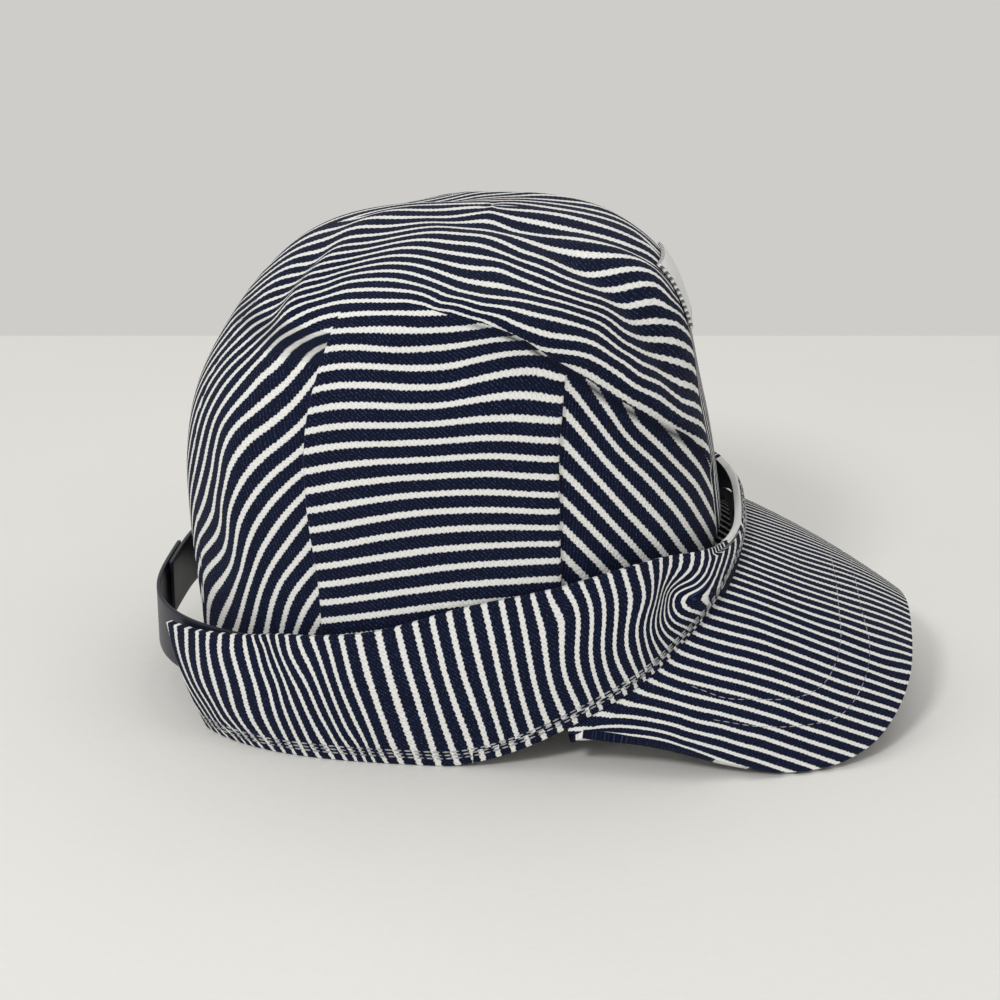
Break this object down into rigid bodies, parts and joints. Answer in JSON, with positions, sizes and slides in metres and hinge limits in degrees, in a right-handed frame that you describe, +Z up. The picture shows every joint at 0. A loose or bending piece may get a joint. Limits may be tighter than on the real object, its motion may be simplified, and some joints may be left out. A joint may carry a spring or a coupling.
{
  "type": "engineer cap",
  "caption": "Soft striped railroad cap with a gathered boxy crown, turned-up band, arched visor, and a snap strap across the open back.",
  "frame": {"origin": "middle of the cap's footprint, on the surface it rests on", "axes": "+Z up, +X over the visor to the wearer's front, +Y to the wearer's left"},
  "size_m": [0.2598, 0.1614, 0.1658],
  "materials": {
    "striped_cloth": "navy and cream stripes woven in cotton twill",
    "strap_plastic": "glossy dark navy moulded plastic",
    "patch_cloth": "plain white cotton with an overcast edge"
  },
  "bodies": {
    "root": {"crown": "striped_cloth", "band": "striped_cloth", "visor": "striped_cloth", "strap_right": "strap_plastic", "strap_left": "strap_plastic", "front_patch": "patch_cloth"}
  },
  "joints": []
}
